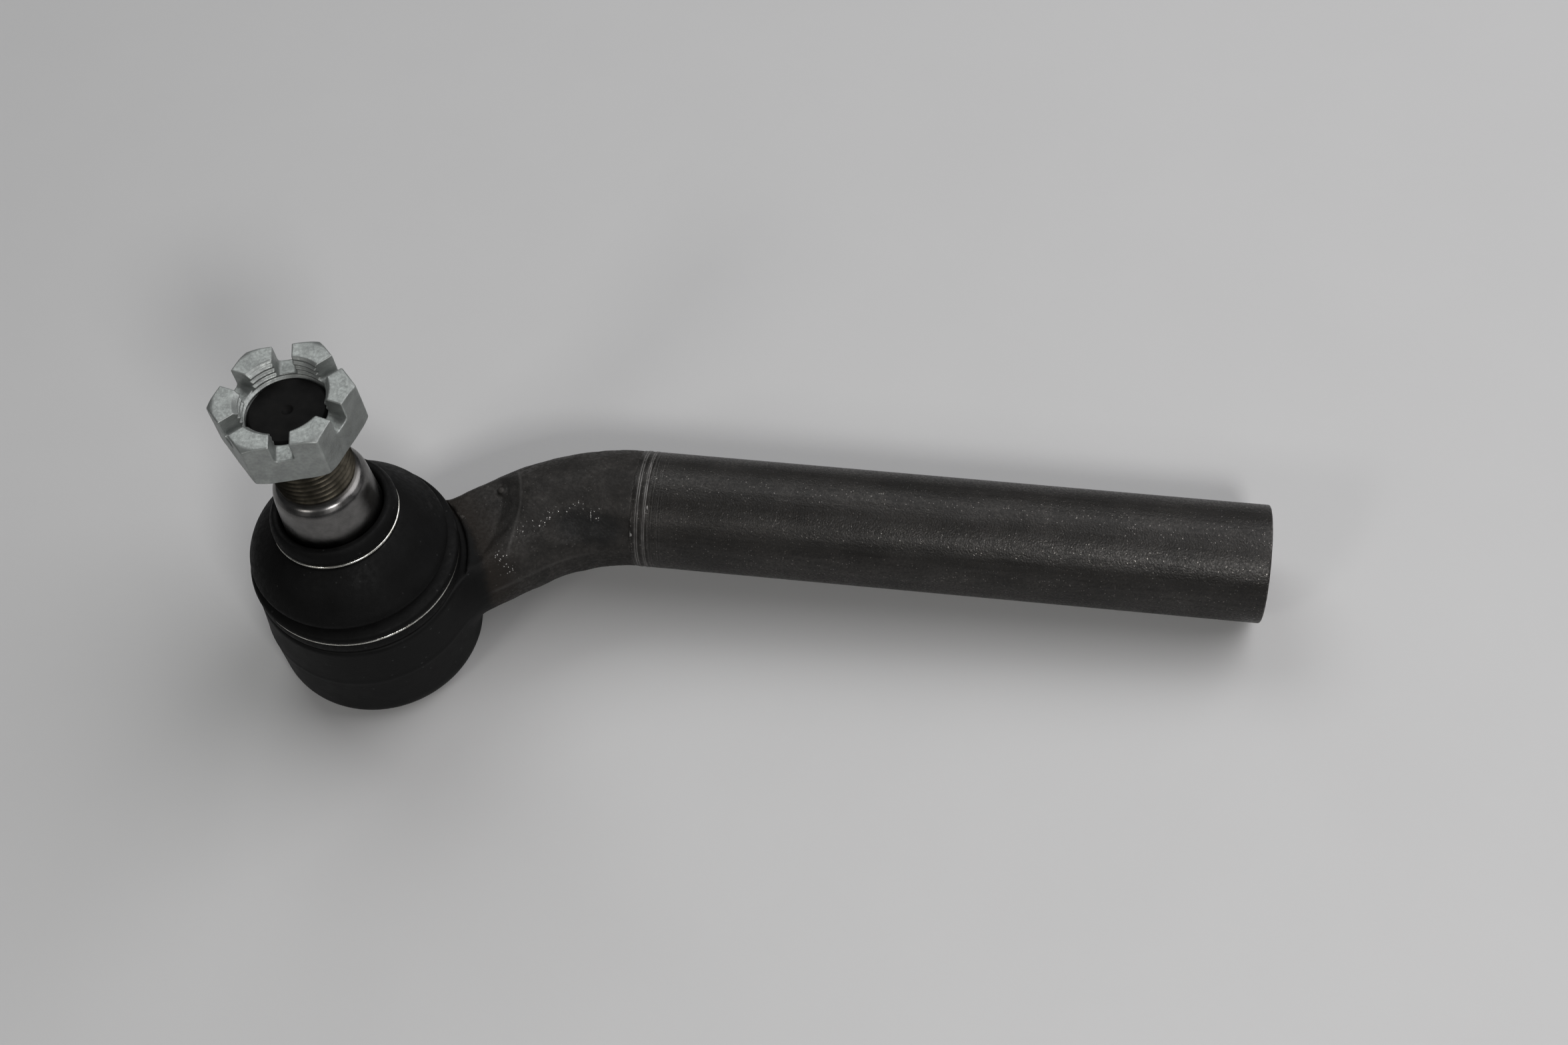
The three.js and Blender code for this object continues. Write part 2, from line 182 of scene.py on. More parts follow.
def shadeSmooth(mesh, sharpAngle=180):
    mesh.polygons.foreach_set("use_smooth", [True] * len(mesh.polygons))
    if sharpAngle < 180:
        mesh.set_sharp_from_angle(angle=math.radians(sharpAngle))


def finishMesh(bm, name, place, sharpAngle=40):
    bmesh.ops.remove_doubles(bm, verts=bm.verts, dist=1e-4)
    bmesh.ops.dissolve_degenerate(bm, edges=bm.edges, dist=1e-4)
    bmesh.ops.recalc_face_normals(bm, faces=bm.faces)
    mesh = bpy.data.meshes.new(name)
    bm.to_mesh(mesh)
    bm.free()
    mesh.transform(place)
    shadeSmooth(mesh, sharpAngle)
    return addObject(name, mesh)


def dress(piece, body, nodes, material):
    piece.data.materials.clear()
    piece.data.materials.append(material)
    if body:
        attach(piece, body)
    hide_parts(*nodes)
    return piece


# Blends two shapes given as distances on a grid
def smoothUnion(a, b, size):
    h = np.clip(0.5 + 0.5 * (b - a) / size, 0, 1)
    return b * (1 - h) + a * h - size * h * (1 - h)


def smoothCut(a, b, size):
    return -smoothUnion(-a, b, size)


def outlineDistance(radius, height, outline):
    best = np.full(radius.shape, 1e9)
    inside = np.zeros(radius.shape, bool)
    for (r0, z0), (r1, z1) in zip(outline, outline[1:] + outline[:1]):
        er, ez = r1 - r0, z1 - z0
        length = er * er + ez * ez
        if length < 1e-9:
            continue
        pr, pz = radius - r0, height - z0
        t = np.clip((pr * er + pz * ez) / length, 0, 1)
        best = np.minimum(best, (pr - t * er) ** 2 + (pz - t * ez) ** 2)
        if (z0 > height) != (z1 > height):
            inside ^= radius < r0 + (height - z0) / ez * er
    return np.where(inside, -1, 1) * np.sqrt(best)


# A turned solid's outline with its mirror image, so that the axis isn't an edge
def wholeOutline(points):
    return points + [(-r, z) for r, z in reversed(points)]


# Smooth unevenness of about unit size, the same on every run
class Waves:
    def __init__(self, seed, size, count=14):
        chance = np.random.default_rng(seed)
        directions = chance.normal(size=(count, 3))
        directions /= np.linalg.norm(directions, axis=1)[:, None]
        self.waves = directions * (math.tau / size * chance.uniform(0.6, 1.5, count))[:, None]
        self.phases = chance.uniform(0, math.tau, count)

    def at(self, x, y, z):
        total = 0
        for (kx, ky, kz), phase in zip(self.waves, self.phases):
            total = total + np.sin(kx * x + ky * y + kz * z + phase)
        return total / math.sqrt(len(self.phases) / 2)


def fieldMesh(name, volume, corner, step, place):
    grid = openvdb.FloatGrid(3.0)
    grid.copyFromArray(volume.astype(np.float32))
    points, quads = grid.convertToQuads(0.0)
    points = points * step + np.array(corner)
    a, b, c = (points[quads[:, k]] for k in range(3))
    d = points[quads[:, 3]]
    if (np.einsum("ij,ij->i", a, np.cross(b, c)) + np.einsum("ij,ij->i", a, np.cross(c, d))).sum() < 0:
        quads = quads[:, ::-1]
    mesh = bpy.data.meshes.new(name)
    mesh.from_pydata(points.tolist(), [], quads.tolist())
    mesh.transform(place)
    shadeSmooth(mesh)
    return addObject(name, mesh)


# The material and node tree being built, its shader, and the position that its masks use
bench = {"material": None, "tree": None, "shader": None, "position": None}


# Adds a node with its settings, and links or sets its inputs
def put(kind, wires=None, **settings):
    item = bench["tree"].nodes.new(kind)
    for key, value in settings.items():
        setattr(item, key, value)
    for socket, value in (wires or {}).items():
        target = item.inputs[socket]
        if isinstance(value, bpy.types.NodeSocket):
            bench["tree"].links.new(value, target)
        else:
            target.default_value = value
    return item


def maths(operation, *values):
    return put("ShaderNodeMath", dict(enumerate(values)), operation=operation).outputs[0]


def vectorMaths(operation, *values, output=0):
    wires = dict(enumerate(values))
    return put("ShaderNodeVectorMath", wires, operation=operation).outputs[output]


def scaleVector(vector, factor):
    return put("ShaderNodeVectorMath", {0: vector, 3: factor}, operation="SCALE").outputs[0]


# Noise with features of about size, in millimetres
def noise(vector, size, detail, times=1.0, **more):
    scale = maths("DIVIDE", times, size)
    wires = {"Vector": vector, "Scale": scale, "Detail": detail, **more}
    return put("ShaderNodeTexNoise", wires).outputs


def remap(value, low, high, toLow=0.0, toHigh=1.0):
    wires = {0: value, 1: low, 2: high, 3: toLow, 4: toHigh}
    return put("ShaderNodeMapRange", wires, interpolation_type="SMOOTHSTEP").outputs[0]


def blend(share, first, second, mode="MIX"):
    wires = {0: share, 6: first, 7: second}
    return put("ShaderNodeMix", wires, data_type="RGBA", blend_type=mode).outputs[2]


# Starts a node group; an input without a value, or with three numbers, is a vector
def startGroup(name, inputs, outputs):
    tree = bench["tree"] = bpy.data.node_groups.new(name, "ShaderNodeTree")
    for label, value in inputs.items():
        kind = "NodeSocketFloat" if isinstance(value, (int, float)) else "NodeSocketVector"
        socket = tree.interface.new_socket(name=label, in_out="INPUT", socket_type=kind)
        if value is not None:
            socket.default_value = value
    for label in outputs:
        tree.interface.new_socket(name=label, in_out="OUTPUT", socket_type="NodeSocketFloat")
    return tree, tree.nodes.new("NodeGroupInput").outputs, tree.nodes.new("NodeGroupOutput")


def useGroup(group, **wires):
    wires["Position"] = bench["position"]
    return put("ShaderNodeGroup", wires, node_tree=group).outputs


# Cloudy variation; Size is in millimetres
def makeMottle():
    tree, given, out = startGroup("mottle", {"Position": None, "Size": 8, "Spread": 0.15}, ["Mask"])
    cloud = noise(given["Position"], given["Size"], 5, Roughness=0.6)[0]
    low = maths("SUBTRACT", 0.5, given["Spread"])
    high = maths("ADD", 0.5, given["Spread"])
    tree.links.new(remap(cloud, low, high), out.inputs["Mask"])
    return tree


# Scattered small specks; Amount is the share of cells that hold one
def makeSpecks():
    tree, given, out = startGroup("specks", {"Position": None, "Size": 1, "Amount": 0.2}, ["Mask"])
    warp = noise(given["Position"], given["Size"], 2)[1]
    place = vectorMaths("ADD", given["Position"], scaleVector(warp, 0.7))
    scale = maths("DIVIDE", 1.0, given["Size"])
    cells = put("ShaderNodeTexVoronoi", {"Vector": place, "Scale": scale})
    pick = put("ShaderNodeSeparateColor", {0: cells.outputs["Color"]}).outputs[0]
    chosen = maths("LESS_THAN", pick, given["Amount"])
    near = remap(cells.outputs["Distance"], 0.34, 0.16)
    tree.links.new(maths("MULTIPLY", chosen, near), out.inputs["Mask"])
    return tree


# Fine relief of a forged, rolled or moulded skin
def makeGrain():
    tree, given, out = startGroup("grain", {"Position": None, "Size": 1, "Coarse": 0.5}, ["Height"])
    fine = noise(given["Position"], given["Size"], 4)[0]
    coarse = noise(given["Position"], given["Size"], 2, times=0.2)[0]
    height = maths("MULTIPLY_ADD", coarse, given["Coarse"], fine)
    tree.links.new(height, out.inputs["Height"])
    return tree


# Rubbed edges, broken up by noise
def makeEdgeWear():
    tree, given, out = startGroup("edgeWear", {"Position": None, "Amount": 0.5, "Size": 2}, ["Mask"])
    edge = put("ShaderNodeNewGeometry").outputs["Pointiness"]
    uneven = noise(given["Position"], given["Size"], 5)[0]
    mask = remap(maths("MULTIPLY_ADD", uneven, 0.06, edge), 0.555, 0.6)
    tree.links.new(maths("MULTIPLY", mask, given["Amount"]), out.inputs["Mask"])
    return tree


# Marks left by turning: fine rings along an axis
def makeTurning():
    inputs = {"Position": None, "Axis": (0, 0, 1), "Pitch": 0.3, "Unevenness": 0.2}
    tree, given, out = startGroup("turning", inputs, ["Height", "Along"])
    along = vectorMaths("DOT_PRODUCT", given["Position"], given["Axis"], output=1)
    wobble = put("ShaderNodeTexNoise", {"Vector": given["Position"], "Scale": 0.15, "Detail": 1})
    shifted = maths("MULTIPLY_ADD", wobble.outputs[0], given["Unevenness"], along)
    scaled = maths("DIVIDE", shifted, given["Pitch"])
    marks = put("ShaderNodeTexNoise", {"W": scaled, "Scale": 1, "Detail": 4}, noise_dimensions="1D")
    tree.links.new(marks.outputs[0], out.inputs["Height"])
    tree.links.new(along, out.inputs["Along"])
    return tree


# Fine streaks drawn out along one direction
def makeStreaks():
    inputs = {"Position": None, "Stretch": (0.05, 1, 1), "Size": 1}
    tree, given, out = startGroup("streaks", inputs, ["Mask"])
    stretched = vectorMaths("MULTIPLY", given["Position"], given["Stretch"])
    drawn = noise(stretched, given["Size"], 4)[0]
    tree.links.new(remap(drawn, 0.35, 0.65), out.inputs["Mask"])
    return tree


mottle = makeMottle()
specks = makeSpecks()
grain = makeGrain()
edgeWear = makeEdgeWear()
turning = makeTurning()
streaks = makeStreaks()
print("shared node groups made")


# A new material, measured in millimetres about a point
def startMaterial(name, metallic=0.0, specular=0.5, about=ballCentre):
    material = bench["material"] = bpy.data.materials.new(name)
    material.use_nodes = True
    bench["tree"] = material.node_tree
    bench["tree"].nodes.clear()
    gloss = {"Metallic": metallic, "Specular IOR Level": specular}
    bench["shader"] = put("ShaderNodeBsdfPrincipled", gloss)
    put("ShaderNodeOutputMaterial", {0: bench["shader"].outputs[0]})
    coordinate = put("ShaderNodeTexCoord").outputs["Object"]
    bench["position"] = scaleVector(vectorMaths("SUBTRACT", coordinate, about), 1 / mm)


# Links what changes over a surface to its shader; depth is the skin's, in millimetres
def finishMaterial(colour, roughness, skin, depth, metallic=None):
    bump = put("ShaderNodeBump", {"Strength": 1.0, "Distance": depth * mm, "Height": skin}).outputs[0]
    wires = {"Base Color": colour, "Roughness": roughness, "Normal": bump, "Metallic": metallic}
    for socket, value in wires.items():
        if value is not None:
            bench["tree"].links.new(value, bench["shader"].inputs[socket])
    return bench["material"]


# Distance along each axis, in millimetres
def axes():
    return put("ShaderNodeSeparateXYZ", {0: bench["position"]}).outputs


def cloudMask(size, spread=0.2):
    return useGroup(mottle, Size=size, Spread=spread)["Mask"]


def speckMask(size, amount):
    return useGroup(specks, Size=size, Amount=amount)["Mask"]


def wearMask(amount, size):
    return useGroup(edgeWear, Amount=amount, Size=size)["Mask"]


def grainHeight(size, coarse):
    return useGroup(grain, Size=size, Coarse=coarse)["Height"]


# Lays a colour over another where a mask is, and no stronger than share
def lay(under, mask, share, over):
    return blend(maths("MULTIPLY", mask, share), under, over)


def grey(value, warmth=0.0):
    return (value * (1 + warmth), value, value * (1 - warmth), 1)


# Socket and neck are one forging, the socket coated black
forging = {
    "gridStep": 0.5,
    "neckRadius": 18,
    "neckAngle": 35.7,
    "rootShift": 9.8,
    "bendRadius": 65,
    "rootFillet": 4.5,
    "widest": 32.45,
    "widestHeight": -4,
    "shoulderRadius": 31.3,
    "shoulderHeight": 12.3,
    "footRadius": 31.95,
    "footRound": 8,
    "seatRadius": 27,
    "seatTop": 19.5,
    "lipRadius": 23.4,
    "coverSeat": (25.9, -22.4),
    "bearingBore": (25, 6.5),
    "mouth": [(17.95, 12.6), (17.35, 12.6)],
    "mouthTop": 19.2,
    "pocketMargin": 1.4,
    "reliefHeight": 13.4,
    "reliefRadius": 35.4,
    "reliefRim": 41.6,
    "reliefSlope": 2.1,  # run of the relief's wall for each millimetre of rise
    "reliefCentre": (4, 20),
    "nub": (38.2, 29.4, 13.8),
    "nubRadius": 1.3,
    "unevenness": 0.1,
    "unevenFrom": (33, 42),
    "reliefUnevenness": 0.06,
    "flashHeight": 3.4,
    "flashRise": 0.22,
    "flashWidth": 0.8,
    "flashFrom": (22, 14),
    "dishStart": (65.8, 10.8, 23.3),
    "dishEnd": (74.8, 9.5, 18.4),
    "dishRadius": 16,
    "dishLine": [(62.5, 20.5, 12.7), (67, 20.8, 11.4), (71, 21, 10.3)],
    "facetCentre": (78.4, -17.5, -1.5),
    "facetRadius": 34.7,
    "facetReach": 5.7,
    "softEdges": {
        "dish": 1.2, "facet": 0.5, "relief": 0.9, "pocket": 0.4, "nub": 0.6, "seat": 0.5, "bore": 0.25,
    },
    "nickLine": [
        (42.7, 7, 12), (43.9, 5, 8.4), (46.4, 15.5, 14.6), (50.7, 17.4, 15), (54.6, 20.2, 15.3),
        (58, 22.4, 15.6), (60, 23.6, 15.8), (63.3, 25.1, 15.9), (68.6, 23.7, 14.1),
    ],
    "coatCentre": (-9.4, -16.7, 0),
    "coatEnd": (50.0, 53.6),
    "hazeEnd": (51.0, 66.0),
    "coatTones": (grey(0.004), grey(0.0085, -0.02)),
    "bareTones": (grey(0.034, 0.06), grey(0.056, 0.065)),
    "hazeTone": (0.028, 0.023, 0.019, 1),
    # scoop and dish tones are painted shade in those hollows, the rim tone is a painted highlight along
    # the relief's edge, and the facet tone is painted light on the trimmed facet
    "flawAndPaintedLightTones": {
        "scoop": (0.35, grey(0.024, 0.03)),
        "rim": (0.6, grey(0.1, 0.04)),
        "dish": (0.75, grey(0.018, -0.02)),
        "facet": (0.6, grey(0.066, 0.07)),
        "flash": (0.4, grey(0.1, 0.04)),
    },
}


# How far a level spot is from the neck's centre line, which runs out past the tube's start
def neckDistance(x, y, end, lead=4, overrun=20, steps=16):
    angle = math.radians(forging["neckAngle"])
    corner = Vector((forging["rootShift"] + shankOffset / math.tan(angle), shankOffset))
    run = forging["bendRadius"] * math.tan(angle / 2)
    bendStart = corner - run * Vector((math.cos(angle), math.sin(angle)))
    bendEnd = corner + Vector((run, 0))
    path = [Vector((forging["rootShift"] + lead, lead * math.tan(angle)))]
    for k in range(steps + 1):
        t = k / steps
        path.append(bendStart * (1 - t) ** 2 + corner * 2 * t * (1 - t) + bendEnd * t * t)
    path.append(Vector((end + overrun, shankOffset)))
    best = np.full(x.shape, 1e9)
    for a, b in zip(path, path[1:]):
        ex, ey = b - a
        t = np.clip(((x - a.x) * ex + (y - a.y) * ey) / math.hypot(ex, ey) ** 2, 0, 1)
        best = np.minimum(best, np.hypot(x - a.x - t * ex, y - a.y - t * ey))
    return best


# A shallow dish pressed in below the crown
def dishDistance(x, y, z):
    start, end = Vector(forging["dishStart"]), Vector(forging["dishEnd"])
    run = end - start
    t = np.clip(((x - start.x) * run.x + (y - start.y) * run.y) / run.length_squared, 0, 1)
    away = [axis - start[k] - t * run[k] for k, axis in enumerate((x, y, z))]
    return np.sqrt(away[0] ** 2 + away[1] ** 2 + away[2] ** 2) - forging["dishRadius"]


# A facet trimmed on the inner side of the bend
def facetDistance(x, y, z):
    facetX, facetY, facetZ = forging["facetCentre"]
    sideways = np.hypot(x - facetX, y - facetY) - forging["facetRadius"]
    return np.maximum(sideways, abs(z - facetZ) - forging["facetReach"])


def makeForging():
    size = forging
    step = size["gridStep"]
    low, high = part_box("socket_forging")
    corner = [(low[k] - ballCentre[k]) / mm - 2 * step for k in range(3)]
    far = [(high[k] - ballCentre[k]) / mm + 2 * step for k in range(3)]
    xs, ys, zs = (np.arange(corner[k], far[k] + step, step) for k in range(3))
    end = (high.x - ballCentre.x) / mm
    x, y = np.meshgrid(xs, ys, indexing="ij")
    radial = np.hypot(x, y)
    fromNeckLine = neckDistance(x, y, end)

    footCentre = size["footRadius"] - size["footRound"]
    bottom = -ballCentre.z / mm
    side = [(0, bottom)]
    for k in range(11):
        turn = math.radians(-90 + 9 * k)
        rise = bottom + size["footRound"] * (1 + math.sin(turn))
        side.append((footCentre + size["footRound"] * math.cos(turn), rise))
    shoulder = size["shoulderRadius"]
    top = size["shoulderHeight"]
    widest, level = size["widest"], size["widestHeight"]
    side += [(widest - 0.12, level - 1.2), (widest, level), (widest - 0.2, level + 1.4)]
    side += [(shoulder, top - 1), (shoulder - 0.8, top), (0, top)]
    socketOutline = wholeOutline(side)
    seat = size["seatRadius"]
    seatTop = size["seatTop"]
    seatSide = [(0, top - 2), (seat, top - 2), (seat, seatTop - 0.8), (seat - 0.8, seatTop), (0, seatTop)]
    seatOutline = wholeOutline(seatSide)
    # the bore, from the lip under the cover up to the mouth round the stud
    lip, (coverRadius, coverTop) = size["lipRadius"], size["coverSeat"]
    bearing = size["bearingBore"]
    bore = [(0, bottom - 3), (lip, bottom - 3), (lip, bottom + 1.2), (coverRadius, bottom + 1.2)]
    bore += [(coverRadius, coverTop), (bearing[0], coverTop), bearing, *size["mouth"]]
    bore += [(size["mouthTop"], seatTop), (size["mouthTop"] + 1.8, seatTop + 3), (0, seatTop + 3)]
    boreOutline = wholeOutline(bore)
    pocketRadius = shoulder + size["pocketMargin"]
    reliefX, reliefY = size["reliefCentre"]
    fromRelief = np.hypot(x - reliefX, y - reliefY) - size["reliefRadius"]
    samples = np.arange(0, radial.max() + 1, 0.2)
    broad = Waves(3, 11)
    small = Waves(4, 3.2)
    onNeck = smoothStep(radial, *size["unevenFrom"])
    nubX, nubY, nubZ = size["nub"]
    soft = size["softEdges"]

    volume = np.zeros((len(xs), len(ys), len(zs)), np.float32)
    for k, z in enumerate(zs):
        socket = np.interp(radial, samples, outlineDistance(samples, z, socketOutline))
        neck = np.sqrt(fromNeckLine**2 + z * z) - size["neckRadius"]
        neck = smoothCut(neck, dishDistance(x, y, z), soft["dish"])
        neck = smoothCut(neck, facetDistance(x, y, z), soft["facet"])
        uneven = broad.at(x, y, z) * 0.8 + small.at(x, y, z) * 0.35
        neck = neck + size["unevenness"] * uneven * onNeck
        flash = size["flashRise"] * np.exp(-(((z - size["flashHeight"]) / size["flashWidth"]) ** 2))
        flash = flash * onNeck * smoothStep(y, *size["flashFrom"])
        body = smoothUnion(socket, neck - flash, size["rootFillet"])
        wall = fromRelief - size["reliefSlope"] * (z - size["reliefHeight"])
        relief = np.maximum(size["reliefHeight"] - z, wall / math.hypot(1, size["reliefSlope"]))
        body = smoothCut(body, relief + size["reliefUnevenness"] * small.at(x, y, z), soft["relief"])
        pocket = np.maximum(top - z, radial - pocketRadius)
        body = smoothCut(body, pocket, soft["pocket"])
        nub = np.sqrt((x - nubX) ** 2 + (y - nubY) ** 2 + (z - nubZ) ** 2) - size["nubRadius"]
        body = smoothUnion(body, nub, soft["nub"])
        seatField = np.interp(radial, samples, outlineDistance(samples, z, seatOutline))
        body = smoothUnion(body, seatField, soft["seat"])
        boreField = np.interp(radial, samples, outlineDistance(samples, z, boreOutline))
        body = smoothCut(body, boreField, soft["bore"])
        volume[:, :, k] = smoothCut(body, end - x, 0.05)
    return fieldMesh("socket_and_neck", volume, corner, step, socketPlace)


def forgingMaterial():
    startMaterial("coated forging", specular=0.25)
    look = forging
    # the coat ends along a ragged curve where the neck leaves the socket
    x, y, _ = axes()
    level = put("ShaderNodeCombineXYZ", {0: x, 1: y}).outputs[0]
    fromCoat = vectorMaths("DISTANCE", level, look["coatCentre"], output=1)
    coatEdge = maths("MULTIPLY_ADD", cloudMask(3.5, 0.3), 1.6, fromCoat)
    bare = remap(coatEdge, *look["coatEnd"])
    haze = remap(coatEdge, *look["hazeEnd"])
    # bare forging: dark scale, grey-brown where it is rubbed
    fineCloud = cloudMask(1.1, 0.14)
    scale = blend(cloudMask(7, 0.16), *look["bareTones"])
    scale = blend(fineCloud, blend(0.45, scale, grey(0.02, 0.05)), scale)
    scale = blend(haze, look["hazeTone"], scale)
    scale = lay(scale, speckMask(size=0.75, amount=0.1), 0.42, grey(0.17, 0.05))
    worn = wearMask(amount=0.5, size=1.5)
    scale = blend(worn, scale, grey(0.13, 0.06))
    # lays the flash tone, painted shade in the scoop and dish, a painted highlight on the relief's rim
    # and painted light on the facet
    for name, (share, tone) in look["flawAndPaintedLightTones"].items():
        flawAndPaintedLightMask = put("ShaderNodeAttribute", attribute_name=name).outputs["Fac"]
        scale = lay(scale, flawAndPaintedLightMask, share, tone)
    # bright nicks along the rub line over the crown
    nickBand = put("ShaderNodeAttribute", attribute_name="nicks").outputs["Fac"]
    nick = maths("MULTIPLY", nickBand, speckMask(size=0.8, amount=0.42))
    scale = blend(nick, scale, grey(0.62, 0.02))
    # black coat
    coatCloud = cloudMask(9)
    coat = blend(coatCloud, *look["coatTones"])
    coat = lay(coat, speckMask(size=1.3, amount=0.035), 0.3, grey(0.11))
    coat = lay(coat, worn, 0.25, grey(0.06))
    bareRough = remap(fineCloud, 0, 1, 0.62, 0.46)
    coatRough = remap(coatCloud, 0, 1, 0.52, 0.6)
    rough = put("ShaderNodeMix", {0: bare, 2: coatRough, 3: bareRough}, data_type="FLOAT").outputs[0]
    rough = maths("MULTIPLY_ADD", nick, -0.25, rough)
    grained = remap(bare, 0, 1, 0.25, 1.0)
    skin = maths("MULTIPLY", grainHeight(0.7, 0.8), grained)
    skin = maths("MULTIPLY_ADD", nick, 0.6, skin)
    colour = blend(bare, coat, scale)
    return finishMaterial(colour, rough, skin, 0.16, metallic=maths("MULTIPLY", nick, 0.9))


socketPiece = makeForging()
vertexPoints = np.empty(len(socketPiece.data.vertices) * 3)
socketPiece.data.vertices.foreach_get("co", vertexPoints)
vertexPoints = (vertexPoints.reshape(-1, 3) - np.array(ballCentre)) / mm


# How near each vertex is to a line of points: 1 within full, 0 beyond none
def nearness(line, full, none):
    away = [np.linalg.norm(vertexPoints - np.array(spot), axis=1) for spot in forging[line]]
    return 1 - smoothStep(np.min(away, axis=0), full, none)


flawX, flawY, flawZ = vertexPoints.T
fromRelief = np.hypot(flawX - forging["reliefCentre"][0], flawY - forging["reliefCentre"][1])
rim = forging["reliefRim"]
onTop = smoothStep(flawZ, 10.5, 13) * smoothStep(flawY, 3, 12) * smoothStep(flawX, 33, 38)
onSide = smoothStep(flawX, 37, 42) * smoothStep(flawY, 20, 13)
# Masks for the nicks, the flash line, painted shade in the dish and the scoop, a painted highlight on the
# relief's rim and painted light on the facet
flawAndPaintedLightMasks = {
    "nicks": nearness("nickLine", 1.0, 3.0),
    "dish": nearness("dishLine", 2.6, 7.4),
    "facet": (1 - smoothStep(facetDistance(flawX, flawY, flawZ), 0.05, 0.6)) * smoothStep(flawX, 52, 60),
    "scoop": smoothStep(fromRelief, 33.5, 37.5) * smoothStep(fromRelief, rim + 0.2, rim - 0.4) * onTop,
    "rim": np.exp(-(((fromRelief - rim) / 0.4) ** 2)) * onTop,
    "flash": np.exp(-(((flawZ - forging["flashHeight"]) / 0.55) ** 2)) * onSide,
}
for name, share in flawAndPaintedLightMasks.items():
    attribute = socketPiece.data.attributes.new(name, "FLOAT", "POINT")
    attribute.data.foreach_set("value", share.astype(np.float32))
dress(socketPiece, "socket", ["socket_forging"], forgingMaterial())
print("socket and neck made:", len(socketPiece.data.polygons), "faces")


# The friction weld is turned flush with the tube
weld = {
    "sides": 128,
    "bore": 12.5,
    "radius": 17.98,
    "overlap": 0.29,
    "lines": (1.4, 2.0, 3.75, 4.25),  # raised lines, counted from the ring's start
    "lineRise": 0.14,
    "lineFoot": 0.24,
    "lineCrest": 0.08,
    "brightTone": grey(0.2, 0.03),
    "ridgeTone": grey(0.42, 0.02),
}
weldLow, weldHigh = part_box("weld_band")
weldStart = (weldLow.x - ballCentre.x) / mm - weld["overlap"]
weldEnd = (weldHigh.x - ballCentre.x) / mm + weld["overlap"]


def makeWeld():
    r, rise = weld["radius"], weld["lineRise"]
    foot, crest = weld["lineFoot"], weld["lineCrest"]
    outline = [(weld["bore"], weldStart, 0.1), (r, weldStart, 0.02)]
    for line in weld["lines"]:
        middle = weldStart + line
        outline += [(r, middle - foot, 0.05), (r + rise, middle - crest, 0.05)]
        outline += [(r + rise, middle + crest, 0.05), (r, middle + foot, 0.05)]
    outline += [(r, weldEnd, 0.02), (weld["bore"], weldEnd, 0.1)]
    bm = bmesh.new()
    addTurned(bm, rounded(outline, steps=2), weld["sides"], closed=True)
    return finishMesh(bm, "weld_ring", shankPlace)


# The drawn and scaled skin that the tube and the weld share
tubeLook = {
    "tones": (grey(0.024, 0.11), grey(0.044, 0.09)),
    "speckled": grey(0.01, 0.05),
    "streak": grey(0.19, 0.03),
    "fleck": grey(0.32, 0.05),
    "stain": grey(0.02, 0.1),
    "rubbed": grey(0.22, 0.04),
    "wornEdge": grey(0.3, 0.03),
    "cutMetal": grey(0.2, 0.05),
}


def tubeSkin():
    fineCloud = cloudMask(0.8, 0.16)
    drawn = useGroup(streaks, Stretch=(0.06, 1, 1), Size=1.6)["Mask"]
    colour = blend(cloudMask(14, 0.16), *tubeLook["tones"])
    speckled = blend(0.62, colour, tubeLook["speckled"])
    colour = blend(fineCloud, speckled, colour)
    colour = lay(colour, drawn, 0.06, tubeLook["streak"])
    flecks = speckMask(size=0.7, amount=0.2)
    colour = lay(colour, flecks, 0.6, tubeLook["fleck"])
    colour = lay(colour, speckMask(size=2.6, amount=0.04), 0.6, tubeLook["stain"])
    rough = maths("MULTIPLY_ADD", flecks, -0.12, remap(fineCloud, 0, 1, 0.47, 0.33))
    return colour, rough, drawn, flecks


def weldMaterial():
    startMaterial("turned weld", metallic=0.4)
    colour, rough, _, _ = tubeSkin()
    rings = useGroup(turning, Axis=(1, 0, 0), Pitch=0.22, Unevenness=0.2)
    scuffed = cloudMask(4, 0.25)
    bright = maths("MULTIPLY", remap(rings["Height"], 0.5, 0.62), scuffed)
    colour = lay(colour, bright, 0.55, weld["brightTone"])
    along = axes()[0]
    rubbed = remap(scuffed, 0, 1, 0.45, 1.0)
    for line in weld["lines"]:
        away = maths("ABSOLUTE", maths("SUBTRACT", along, weldStart + line))
        colour = lay(colour, remap(away, 0.3, 0.12), rubbed, weld["brightTone"])
    ridge = wearMask(amount=0.95, size=0.6)
    colour = blend(ridge, colour, weld["ridgeTone"])
    return finishMaterial(colour, rough, rings["Height"], 0.05)


dress(makeWeld(), "socket", ["weld_band"], weldMaterial())
print("weld ring made")


# The shank's bore is threaded at its far end
tube = {
    "sides": 144,
    "radius": 18,
    "bore": 12.5,
    "edge": 0.7,
    "mouth": 1.3,
    "threadLength": 62,
    "threadPitch": 2,
    "threadRoot": 13.5,
}


def makeTube():
    start = (tubeLow.x - ballCentre.x) / mm
    end = (tubeHigh.x - ballCentre.x) / mm
    size = tube
    outer = [(size["bore"], end - size["threadLength"], 0), (size["bore"], start, 0.2)]
    outer += [(size["radius"], start, 0.02), (size["radius"], end, size["edge"])]
    outer += [(size["threadRoot"] + 0.8, end, 0.25)]
    outer += [(size["threadRoot"], end - size["mouth"], 0)]
    thread = {
        "start": end - size["threadLength"],
        "end": end - size["mouth"],
        "pitch": size["threadPitch"],
        "rowsPerTurn": 8,
        "crest": size["threadRoot"],
        "root": size["bore"],
        "startRadius": size["bore"],
        "endRadius": size["threadRoot"],
        "fadeStart": 3,
        "fadeEnd": 1.2,
    }
    bm = bmesh.new()
    addSkin(bm, outer, 9, size["sides"])
    addThread(bm, thread, size["sides"])
    return finishMesh(bm, "shank", shankPlace)


